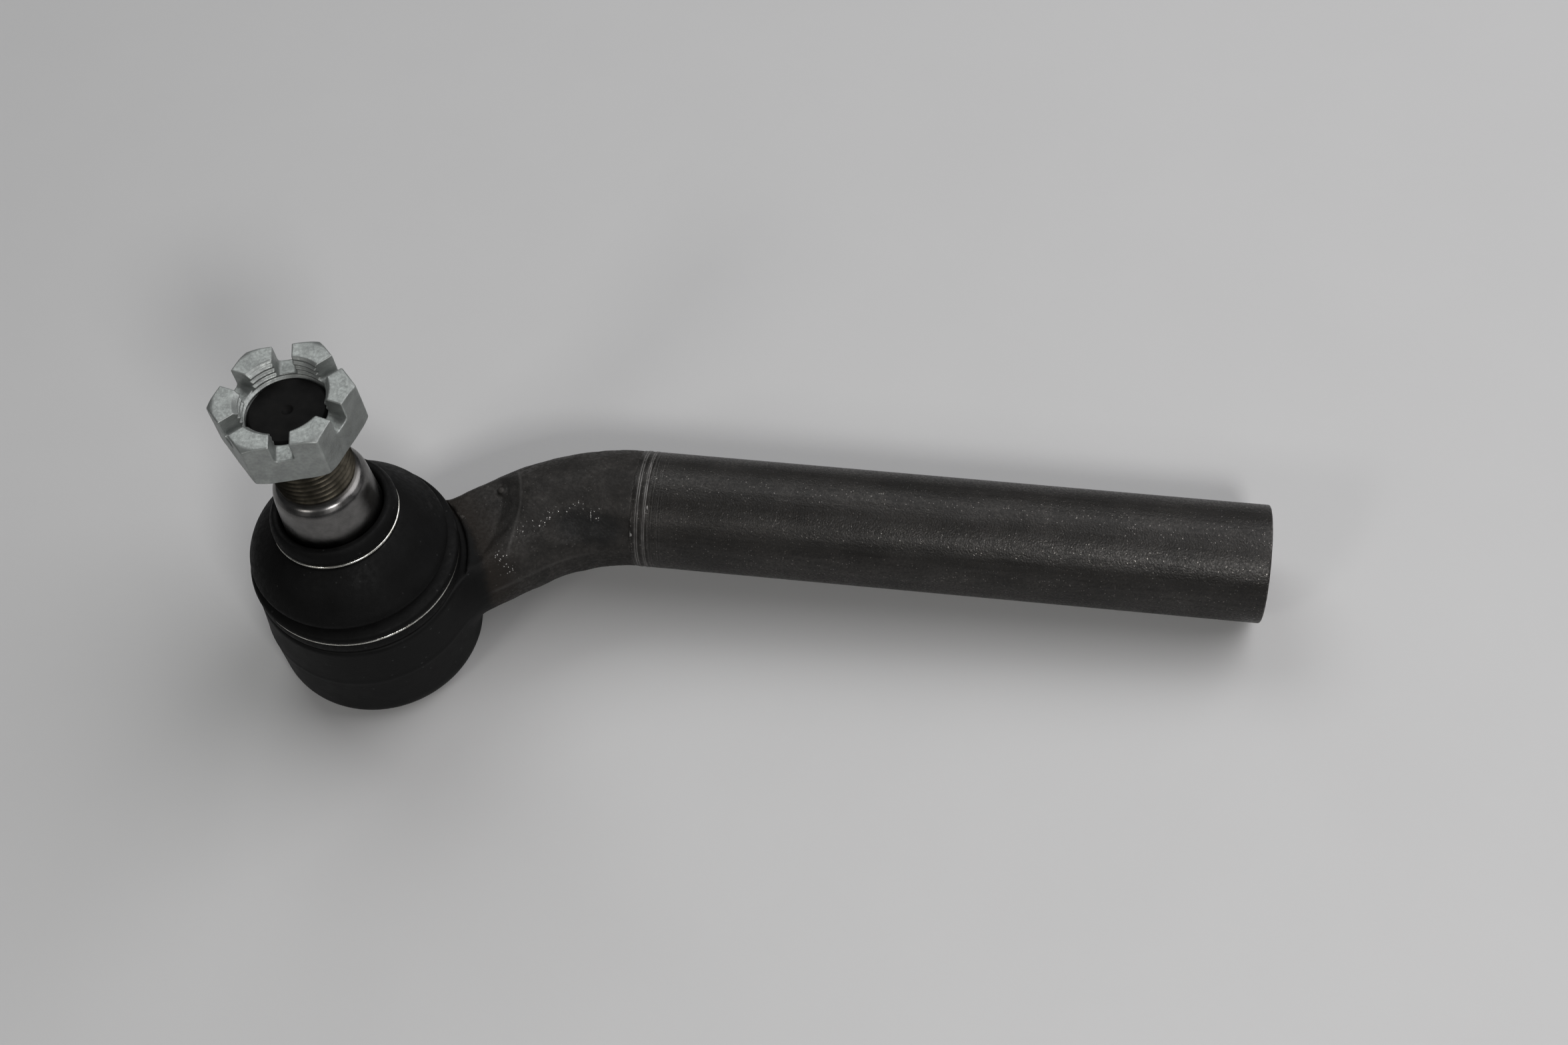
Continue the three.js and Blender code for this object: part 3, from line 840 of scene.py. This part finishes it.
def tubeMaterial():
    startMaterial("drawn tube", metallic=0.4, specular=0.75)
    colour, rough, drawn, flecks = tubeSkin()
    along = axes()[0]
    # turning marks run on a little from the weld
    rings = useGroup(turning, Axis=(1, 0, 0), Pitch=0.3, Unevenness=0.3)
    nearWeld = remap(along, 94.0, 84.0)
    marks = maths("MULTIPLY", remap(rings["Height"], 0.52, 0.62), nearWeld)
    marks = maths("MULTIPLY", marks, cloudMask(3))
    colour = lay(colour, marks, 0.5, tubeLook["rubbed"])
    worn = wearMask(amount=0.7, size=1.2)
    colour = blend(worn, colour, tubeLook["wornEdge"])
    # inside the bore the metal is cut, not scaled
    offAxis = vectorMaths("SUBTRACT", bench["position"], (0, shankOffset, 0))
    radius = vectorMaths("LENGTH", vectorMaths("MULTIPLY", offAxis, (0, 1, 1)), output=1)
    colour = blend(remap(radius, 15.2, 14.0), colour, tubeLook["cutMetal"])
    skin = maths("MULTIPLY_ADD", drawn, 0.08, grainHeight(0.55, 0.5))
    skin = maths("MULTIPLY_ADD", marks, 0.3, skin)
    return finishMaterial(colour, rough, skin, 0.14, metallic=remap(flecks, 0, 1, 0.35, 0.95))


tubePiece = dress(makeTube(), "socket", ["shank_tube"], tubeMaterial())
print("shank made:", len(tubePiece.data.polygons), "faces")


# The cover is rolled in under the socket
cover = {
    "sides": 128,
    "rim": 25.6,
    "flat": 19,
    "dish": 1.5,
    "thickness": 2.2,
    "tones": (grey(0.011), grey(0.02)),
    "wornTone": grey(0.1, 0.03),
    "dustTone": grey(0.12),
}


def makeCover():
    bottom = -ballCentre.z / mm
    size = cover
    rimLow = bottom + 1.5
    rimHigh = rimLow + size["thickness"]
    outline = [(0, bottom + 0.35, 0), (4.2, bottom + 0.35, 0.3), (4.9, bottom, 0.4)]
    outline += [(size["flat"], bottom, 0.7), (size["flat"] + 2.4, rimLow, 0.7)]
    outline += [(size["rim"], rimLow, 0.4), (size["rim"], rimHigh, 0.4)]
    outline += [(size["flat"] + 1.8, rimHigh, 0.7), (size["flat"] - 0.6, rimHigh - size["dish"], 0.7)]
    outline += [(0, rimHigh - size["dish"], 0)]
    bm = bmesh.new()
    addSkin(bm, outline, 4, size["sides"])
    return finishMesh(bm, "cover_plate", socketPlace)


def coverMaterial():
    startMaterial("pressed cover", specular=0.3)
    cloud = cloudMask(6)
    colour = blend(cloud, *cover["tones"])
    colour = blend(wearMask(amount=0.35, size=1.5), colour, cover["wornTone"])
    colour = lay(colour, speckMask(size=1.2, amount=0.06), 0.3, cover["dustTone"])
    rough = remap(cloud, 0, 1, 0.5, 0.62)
    return finishMaterial(colour, rough, grainHeight(0.8, 0.8), 0.06)


dress(makeCover(), "socket", ["end_cover"], coverMaterial())
print("end cover made")


# The boot's outlines are [radius, height, rounding]
boot = {
    "sides": 144,
    "bendLow": 19.4,
    "bendHigh": 35.4,
    "blendStart": 21.6,  # from here up the rubber follows the stud, clear of the socket
    "sideways": (-1.25, -0.1),  # the bulge hangs a little to this side
    "bulgeFoot": 21,
    "bulgeHeight": 17,
    "outside": [
        (27.35, 12.6, 0.2), (30.6, 12.6, 0.5), (31.2, 14.4, 0.7), (31.0, 16.75, 0.2),
        (29.95, 16.85, 0.15), (29.95, 17.95, 0.15), (31.1, 18.05, 0.3), (31.45, 19.3, 0.7),
        (30.9, 20.5, 0.7), (29.2, 21.3, 0.8), (27.4, 21.75, 0.35), (28.3, 22.35, 0.6),
        (29.5, 23.8, 0.9), (29.35, 25.0, 0.9), (27.9, 27.2, 1.4), (26.4, 29.4, 1.4),
        (24.8, 31.5, 1.4), (23.0, 33.4, 1.4), (20.9, 35.3, 1.2), (19.3, 36.6, 0.4),
        (18.0, 36.75, 0.15), (18.0, 37.95, 0.15), (18.75, 38.1, 0.4), (19.05, 39.4, 0.8),
        (18.6, 41.6, 1.0), (17.4, 43.2, 0.8), (15.9, 43.0, 0.6), (15.35, 42.0, 0.3),
    ],
    "inside": [
        (15.35, 36.0, 0.5), (18.0, 34.2, 1.2), (21.6, 31.0, 1.6), (24.6, 27.2, 1.6),
        (26.4, 24.2, 0.8), (26.2, 22.8, 0.5), (25.2, 21.6, 0.5), (26.0, 20.2, 0.5),
        (27.35, 19.7, 0.3),
    ],
    "tones": (grey(0.003), grey(0.0065, -0.02)),
    "bloomTone": grey(0.009),
    "dustTone": grey(0.12),
    "wornTone": grey(0.05),
}


def bootShape(x, y, z):
    share = float(smoothStep(z, boot["bendLow"], boot["bendHigh"]))
    rise = min(max((z - boot["bulgeFoot"]) / boot["bulgeHeight"], 0), 1)
    bulge = math.sin(math.pi * rise) ** 1.5
    point = Vector((x + boot["sideways"][0] * bulge, y + boot["sideways"][1] * bulge, z))
    point.rotate(Matrix.Rotation(leanAngle * share, 3, leanAxis))
    return point


def makeBoot():
    bm = bmesh.new()
    outline = divided(rounded(boot["outside"] + boot["inside"], steps=5), 0.8)
    addTurned(bm, outline, boot["sides"], closed=True, shape=bootShape)
    return finishMesh(bm, "boot", socketPlace, sharpAngle=70)


def bootMaterial():
    startMaterial("boot rubber", specular=0.2)
    fineCloud = cloudMask(1.6)
    colour = blend(cloudMask(8), *boot["tones"])
    colour = lay(colour, fineCloud, 0.25, boot["bloomTone"])
    colour = lay(colour, speckMask(size=1.1, amount=0.03), 0.22, boot["dustTone"])
    colour = blend(wearMask(amount=0.2, size=2), colour, boot["wornTone"])
    rough = remap(fineCloud, 0, 1, 0.5, 0.64)
    return finishMaterial(colour, rough, grainHeight(0.5, 0.6), 0.05)


bootPiece = makeBoot()
dress(bootPiece, None, ["dust_boot"], bootMaterial())
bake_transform(bootPiece)
print("boot made:", len(bootPiece.data.polygons), "faces")


# Each wire ring rides with the end of the boot that it holds
rings = {
    "boot_wire_lower": {"node": "boot_lower_ring", "body": "boot", "radius": 30.55, "height": 17.4},
    "boot_wire_upper": {"node": "boot_upper_ring", "body": "collar", "radius": 18.5, "height": 37.35},
}
wire = {"radius": 0.5, "sides": 14, "turns": 160, "tones": ((0.5, 0.49, 0.45, 1), (0.85, 0.85, 0.81, 1))}


def wireMaterial():
    startMaterial("ring wire", metallic=1.0)
    cloud = cloudMask(2.5)
    colour = blend(cloud, *wire["tones"])
    colour = lay(colour, speckMask(size=1.5, amount=0.2), 0.6, grey(0.2, 0.1))
    rough = remap(cloud, 0, 1, 0.34, 0.2)
    return finishMaterial(colour, rough, grainHeight(0.3, 0.5), 0.02)


ringMaterial = wireMaterial()
for name, ring in rings.items():
    bm = bmesh.new()
    thick = wire["radius"]
    turns = [math.tau * k / wire["sides"] for k in range(wire["sides"])]
    circle = [(ring["radius"] + thick * math.cos(t), ring["height"] + thick * math.sin(t)) for t in turns]
    addTurned(bm, circle, wire["turns"], closed=True)
    place = studPlace if ring["body"] == "collar" else socketPlace
    wirePiece = finishMesh(bm, name, place, sharpAngle=80)
    dress(wirePiece, ring["body"], [ring["node"]], ringMaterial)
print("wire rings made")


# Ball, taper and thread are one piece
stud = {
    "sides": 120,
    "ball": 19.5,
    "ballFlat": 17.5,
    "neck": 10.8,
    "taperLarge": 15,
    "taperSmall": 14.09,
    "taperStart": 40,
    "taperTop": 54.5,
    "shoulderRound": 2.6,
    "threadStart": 57.6,
    "threadCrest": 11.72,
    "threadRoot": 10.75,
    "pitch": 2,
    "length": 87.5,
    "centreDrill": 1.7,
    "crossHole": 2.5,
    "crossHoleHeight": 80.5,
    "groundTones": (grey(0.2, 0.02), grey(0.28, 0.02)),
    "threadTones": ((0.045, 0.041, 0.032, 1), (0.075, 0.068, 0.055, 1)),
    "endTones": (grey(0.003), grey(0.007, 0.05)),
}


def applyCut(piece, cutter):
    change = piece.modifiers.new("cut", "BOOLEAN")
    change.operation = "DIFFERENCE"
    change.solver = "EXACT"
    change.object = cutter
    graph = bpy.context.evaluated_depsgraph_get()
    mesh = bpy.data.meshes.new_from_object(piece.evaluated_get(graph))
    piece.modifiers.clear()
    piece.data = mesh
    bpy.data.objects.remove(cutter)
    shadeSmooth(mesh, 40)


def makeStud():
    size = stud
    low = [(0, -size["ballFlat"])]
    flat = math.asin(-size["ballFlat"] / size["ball"])
    neckTurn = math.acos(size["neck"] / size["ball"])
    for k in range(33):
        turn = flat + (neckTurn - flat) * k / 32
        low.append((size["ball"] * math.cos(turn), size["ball"] * math.sin(turn)))
    neck = [(*low[-1], 0), (size["neck"], 22, 3), (12.5, 31, 4), (14.5, 35.5, 1.5)]
    neck += [(size["taperLarge"], 37.5, 1), (size["taperLarge"], size["taperStart"], 0.4)]
    neck += [(size["taperSmall"], size["taperTop"], size["shoulderRound"])]
    neck += [(size["threadCrest"] + 0.6, size["threadStart"] - 0.7, 0.7)]
    neck += [(size["threadRoot"] + 0.1, size["threadStart"], 0)]
    low = low[:-1] + divided(rounded(neck, closed=False, steps=7), 1.5, closed=False)
    end = size["length"]
    crest = size["threadCrest"]
    thread = {
        "start": size["threadStart"],
        "end": end - 1.1,
        "pitch": size["pitch"],
        "rowsPerTurn": 8,
        "crest": crest,
        "root": size["threadRoot"],
        "startRadius": size["threadRoot"] + 0.1,
        "endRadius": crest - 0.15,
        "fadeStart": 1.6,
        "fadeEnd": 1.2,
    }
    drill = size["centreDrill"]
    top = [(crest - 0.15, end - 1.1, 0), (crest - 0.9, end, 0.25)]
    top += [(drill, end, 0.25), (0, end - drill * 1.1, 0)]
    bm = bmesh.new()
    addTurned(bm, low, size["sides"])
    addThread(bm, thread, size["sides"])
    addSkin(bm, top, 2.5, size["sides"])
    piece = finishMesh(bm, "stud", studPlace)
    hole = bmesh.new()
    bore, reach = size["crossHole"], 16
    addTurned(hole, [(0, -reach), (bore, -reach), (bore, reach), (0, reach)], 40)
    turn = Matrix.Rotation(math.radians(nut["turn"] + 30), 4, "Z") @ Matrix.Rotation(math.pi / 2, 4, "Y")
    place = studPlace @ Matrix.Translation((0, 0, size["crossHoleHeight"])) @ turn
    cutter = finishMesh(hole, "hole_cutter", place)
    applyCut(piece, cutter)
    return piece


def studMaterial():
    startMaterial("stud steel", metallic=1.0, specular=0.25)
    marks = useGroup(turning, Axis=studAxis, Pitch=0.16, Unevenness=0.1)
    along = marks["Along"]
    cloud = cloudMask(4)
    tone = remap(marks["Height"], 0.35, 0.65, 0.8, 1.0)
    ringTone = put("ShaderNodeCombineColor", {0: tone, 1: tone, 2: tone}).outputs[0]
    ground = blend(cloud, *stud["groundTones"])
    ground = blend(1.0, ground, ringTone, "MULTIPLY")
    # thread: dull and brownish
    onThread = remap(along, 56.9, 57.9)
    threadTone = blend(cloudMask(2.2), *stud["threadTones"])
    colour = blend(onThread, ground, threadTone)
    # blackened end
    onEnd = remap(along, 80.5, 82.5)
    endTone = blend(cloudMask(3, 0.22), *stud["endTones"])
    colour = blend(onEnd, colour, endTone)
    rough = maths("MULTIPLY_ADD", cloud, 0.06, remap(onThread, 0, 1, 0.27, 0.4))
    rough = maths("MULTIPLY_ADD", onEnd, 0.22, rough)
    grained = remap(onThread, 0, 1, 0.15, 0.5)
    skin = maths("MULTIPLY", grainHeight(0.35, 0.4), grained)
    skin = maths("MULTIPLY_ADD", marks["Height"], 0.5, skin)
    return finishMaterial(colour, rough, skin, 0.02, metallic=remap(onEnd, 0, 1, 1.0, 0.0))


# The nut's slots run through its flats
nut = {
    "gridStep": 0.2,
    "acrossFlats": 36,
    "height": 15.4,
    "seat": 78.7,
    "turn": 14.2,
    "chamferRadius": 19.1,
    "slotWidth": 5.5,
    "slotDepth": 6.4,
    "threadCrest": 12.0,
    "threadRoot": 12.85,
    "pitch": 2,
    "edge": 0.45,
    "slotEdge": 0.35,
    "slotCorner": 1.2,
    "unevenness": 0.025,
    "tones": ((0.33, 0.345, 0.337, 1), (0.43, 0.45, 0.438, 1)),
    "dullTone": (0.28, 0.29, 0.284, 1),
    "wornTone": (0.55, 0.57, 0.55, 1),
    "stainTone": (0.25, 0.26, 0.25, 1),
}


def makeNut():
    size = nut
    step = size["gridStep"]
    reach = size["acrossFlats"] / math.sqrt(3) + 1
    flats = np.arange(-reach, reach + step, step)
    heights = np.arange(-3 * step, size["height"] + 3 * step, step)
    x, y = np.meshgrid(flats, flats, indexing="ij")
    radial = np.hypot(x, y)
    angle = np.arctan2(y, x)
    hexagon = np.full(x.shape, -1e9)
    slots = np.full(x.shape, 1e9)
    for i in range(6):
        turn = math.radians(size["turn"] + 30 + 60 * i)
        out = x * math.cos(turn) + y * math.sin(turn) - size["acrossFlats"] / 2
        hexagon = out if i == 0 else smoothCut(hexagon, -out, size["edge"])
        across = abs(-x * math.sin(turn) + y * math.cos(turn)) - size["slotWidth"] / 2
        slots = np.minimum(slots, np.where(out > -size["acrossFlats"] / 2, across, 1e9))
    volume = np.zeros((len(flats), len(flats), len(heights)), np.float32)
    tone = Waves(8, 6)
    for k, z in enumerate(heights):
        body = hexagon + size["unevenness"] * tone.at(x, y, z)
        for side, level in ((1, size["height"]), (-1, 0)):
            beyond = side * (z - level)
            cone = (radial - size["chamferRadius"]) * 0.5 + beyond * 0.866
            body = smoothCut(body, -cone, 0.3)
            body = smoothCut(body, -np.full(x.shape, beyond), size["edge"])
        phase = (z / size["pitch"] - angle / math.tau) % 1
        ridge = np.clip((abs(phase * 2 - 1) - 0.18) / 0.64, 0, 1)
        bore = size["threadCrest"] + (size["threadRoot"] - size["threadCrest"]) * ridge
        bore = np.maximum(bore, size["threadRoot"] + 0.7 - np.minimum(z, size["height"] - z))
        body = smoothCut(body, (radial - bore) * 0.75, 0.15)
        aboveFloor = np.full(x.shape, z - (size["height"] - size["slotDepth"]))
        slotField = smoothCut(slots, aboveFloor, size["slotCorner"])
        volume[:, :, k] = smoothCut(body, slotField, size["slotEdge"])
    place = studPlace @ Matrix.Translation((0, 0, size["seat"]))
    return fieldMesh("nut", volume, [-reach, -reach, heights[0]], step, place)


def nutMaterial():
    startMaterial("bright zinc", metallic=0.72)
    fineCloud = cloudMask(0.9, 0.18)
    colour = blend(cloudMask(5), *nut["tones"])
    colour = lay(colour, fineCloud, 0.25, nut["dullTone"])
    colour = blend(wearMask(amount=0.3, size=1), colour, nut["wornTone"])
    colour = lay(colour, speckMask(size=1.6, amount=0.06), 0.3, nut["stainTone"])
    rough = remap(fineCloud, 0, 1, 0.44, 0.56)
    return finishMaterial(colour, rough, grainHeight(0.45, 0.7), 0.045)


studPiece = dress(makeStud(), "stud", ["ball_stud"], studMaterial())
print("ball stud made:", len(studPiece.data.polygons), "faces")
nutPiece = dress(makeNut(), "nut", ["castle_nut"], nutMaterial())
print("castle nut made:", len(nutPiece.data.polygons), "faces")


# Pieces inside the socket keep their CAD shapes
def insideMaterial(name, tones, metallic, roughness, turnedMarks):
    startMaterial(name, metallic=metallic)
    cloud = cloudMask(5)
    colour = blend(cloud, *tones)
    colour = lay(colour, speckMask(size=1.4, amount=0.06), 0.3, tones[0])
    skin = grainHeight(0.6, 0.5)
    if turnedMarks:
        marks = useGroup(turning, Axis=(0, 0, 1), Pitch=0.25, Unevenness=0.1)
        skin = maths("ADD", skin, marks["Height"])
    rough = remap(cloud, 0, 1, roughness - 0.05, roughness + 0.08)
    return finishMaterial(colour, rough, skin, 0.03)


plasticTones = ((0.6, 0.58, 0.5, 1), (0.68, 0.66, 0.58, 1))
insidePieces = {
    "cover_seal": ("seal rubber", (grey(0.012), grey(0.022)), 0.0, 0.55, False),
    "preload_spring": ("spring steel", (grey(0.09, -0.04), grey(0.17, -0.03)), 1.0, 0.35, False),
    "spring_plate": ("plate steel", (grey(0.3), grey(0.42)), 1.0, 0.34, True),
    "lower_bearing_shell": ("bearing plastic lower", plasticTones, 0.0, 0.42, True),
    "upper_bearing_shell": ("bearing plastic upper", plasticTones, 0.0, 0.42, True),
}
for nodeName, look in insidePieces.items():
    mesh = frame["nodes"][nodeName].data
    mesh.materials.clear()
    mesh.materials.append(insideMaterial(*look))
    shadeSmooth(mesh, 35)
print("inside pieces finished")


# A pale board that the socket's foot and the tube's far end rest on
floor = {"size": 6.0, "foot": 0.0242, "drop": 0.0002, "tone": 0.62, "roughness": 0.9}


def makeFloor():
    footPoint = Vector((floor["foot"], 0, 0))
    tubePoint = Vector((tubeHigh.x, (tubeLow.y + tubeHigh.y) / 2, tubeLow.z))
    along = (tubePoint - footPoint).normalized()
    normal = along.cross(up.cross(along)).normalized()
    mesh = bpy.data.meshes.new("table")
    bm = bmesh.new()
    bmesh.ops.create_grid(bm, x_segments=2, y_segments=2, size=floor["size"] / 2)
    bm.to_mesh(mesh)
    bm.free()
    piece = addObject("table", mesh)
    turn = up.rotation_difference(normal).to_matrix().to_4x4()
    piece.matrix_world = Matrix.Translation(footPoint - normal * floor["drop"]) @ turn
    startMaterial("pale board", about=(0, 0, 0))
    bench["shader"].inputs["Roughness"].default_value = floor["roughness"]
    tone = floor["tone"]
    colour = blend(cloudMask(60, 0.3), grey(tone * 0.985), grey(tone))
    mesh.materials.append(finishMaterial(colour, None, grainHeight(1.5, 0.5), 0.02))


makeFloor()

lights = {
    "ceiling": {"at": (0.95, 0.5, 1.2), "size": (1.6, 1.4), "power": 15.5, "colour": (1, 0.99, 1)},
    "skylight": {"at": (-0.38, 0.78, 1.1), "size": (0.9, 0.7), "power": 4.4, "colour": (0.99, 1, 1)},
    "window": {"at": (0.44, -0.6, 0.73), "size": (0.2, 0.16), "power": 3.1, "colour": (1, 0.99, 0.98)},
    "lamp": {"at": (-0.5, -0.85, 0.75), "size": (0.24, 0.22), "power": 1.6, "colour": (1, 0.98, 0.95)},
}


room = {"aim": (0.08, 0.02, 0.03), "colour": (0.96, 0.98, 1, 1), "strength": 0.1}


def makeLights():
    for name, light in lights.items():
        data = bpy.data.lights.new(name, "AREA")
        data.shape = "RECTANGLE"
        data.size, data.size_y = light["size"]
        data.energy = light["power"]
        data.color = light["colour"]
        lamp = addObject(name, data)
        lamp.location = light["at"]
        aim = Vector(room["aim"]) - lamp.location
        lamp.rotation_euler = aim.to_track_quat("-Z", "Y").to_euler()
    world = bpy.context.scene.world = bpy.data.worlds.new("room")
    world.use_nodes = True
    sky = world.node_tree.nodes["Background"]
    sky.inputs["Color"].default_value = room["colour"]
    sky.inputs["Strength"].default_value = room["strength"]


camera = {
    "at": (0.19692, -0.30858, 0.58472),
    "right": (0.9899, 0.13398, -0.04636),
    "up": (-0.08901, 0.84182, 0.53237),
    "lens": 48.78,
}


def makeCamera():
    data = bpy.data.cameras.new("camera")
    data.lens = camera["lens"]
    data.sensor_width = 36
    data.clip_start = 0.02
    view = addObject("camera", data)
    right = Vector(camera["right"]).normalized()
    upward = Vector(camera["up"])
    upward = (upward - right * upward.dot(right)).normalized()
    turn = Matrix((right, upward, right.cross(upward))).transposed().to_4x4()
    view.matrix_world = Matrix.Translation(camera["at"]) @ turn
    bpy.context.scene.camera = view


makeLights()
makeCamera()
bpy.context.scene.view_settings.view_transform = "Standard"
bpy.context.scene.view_settings.gamma = 0.82
print("floor, light and camera set")
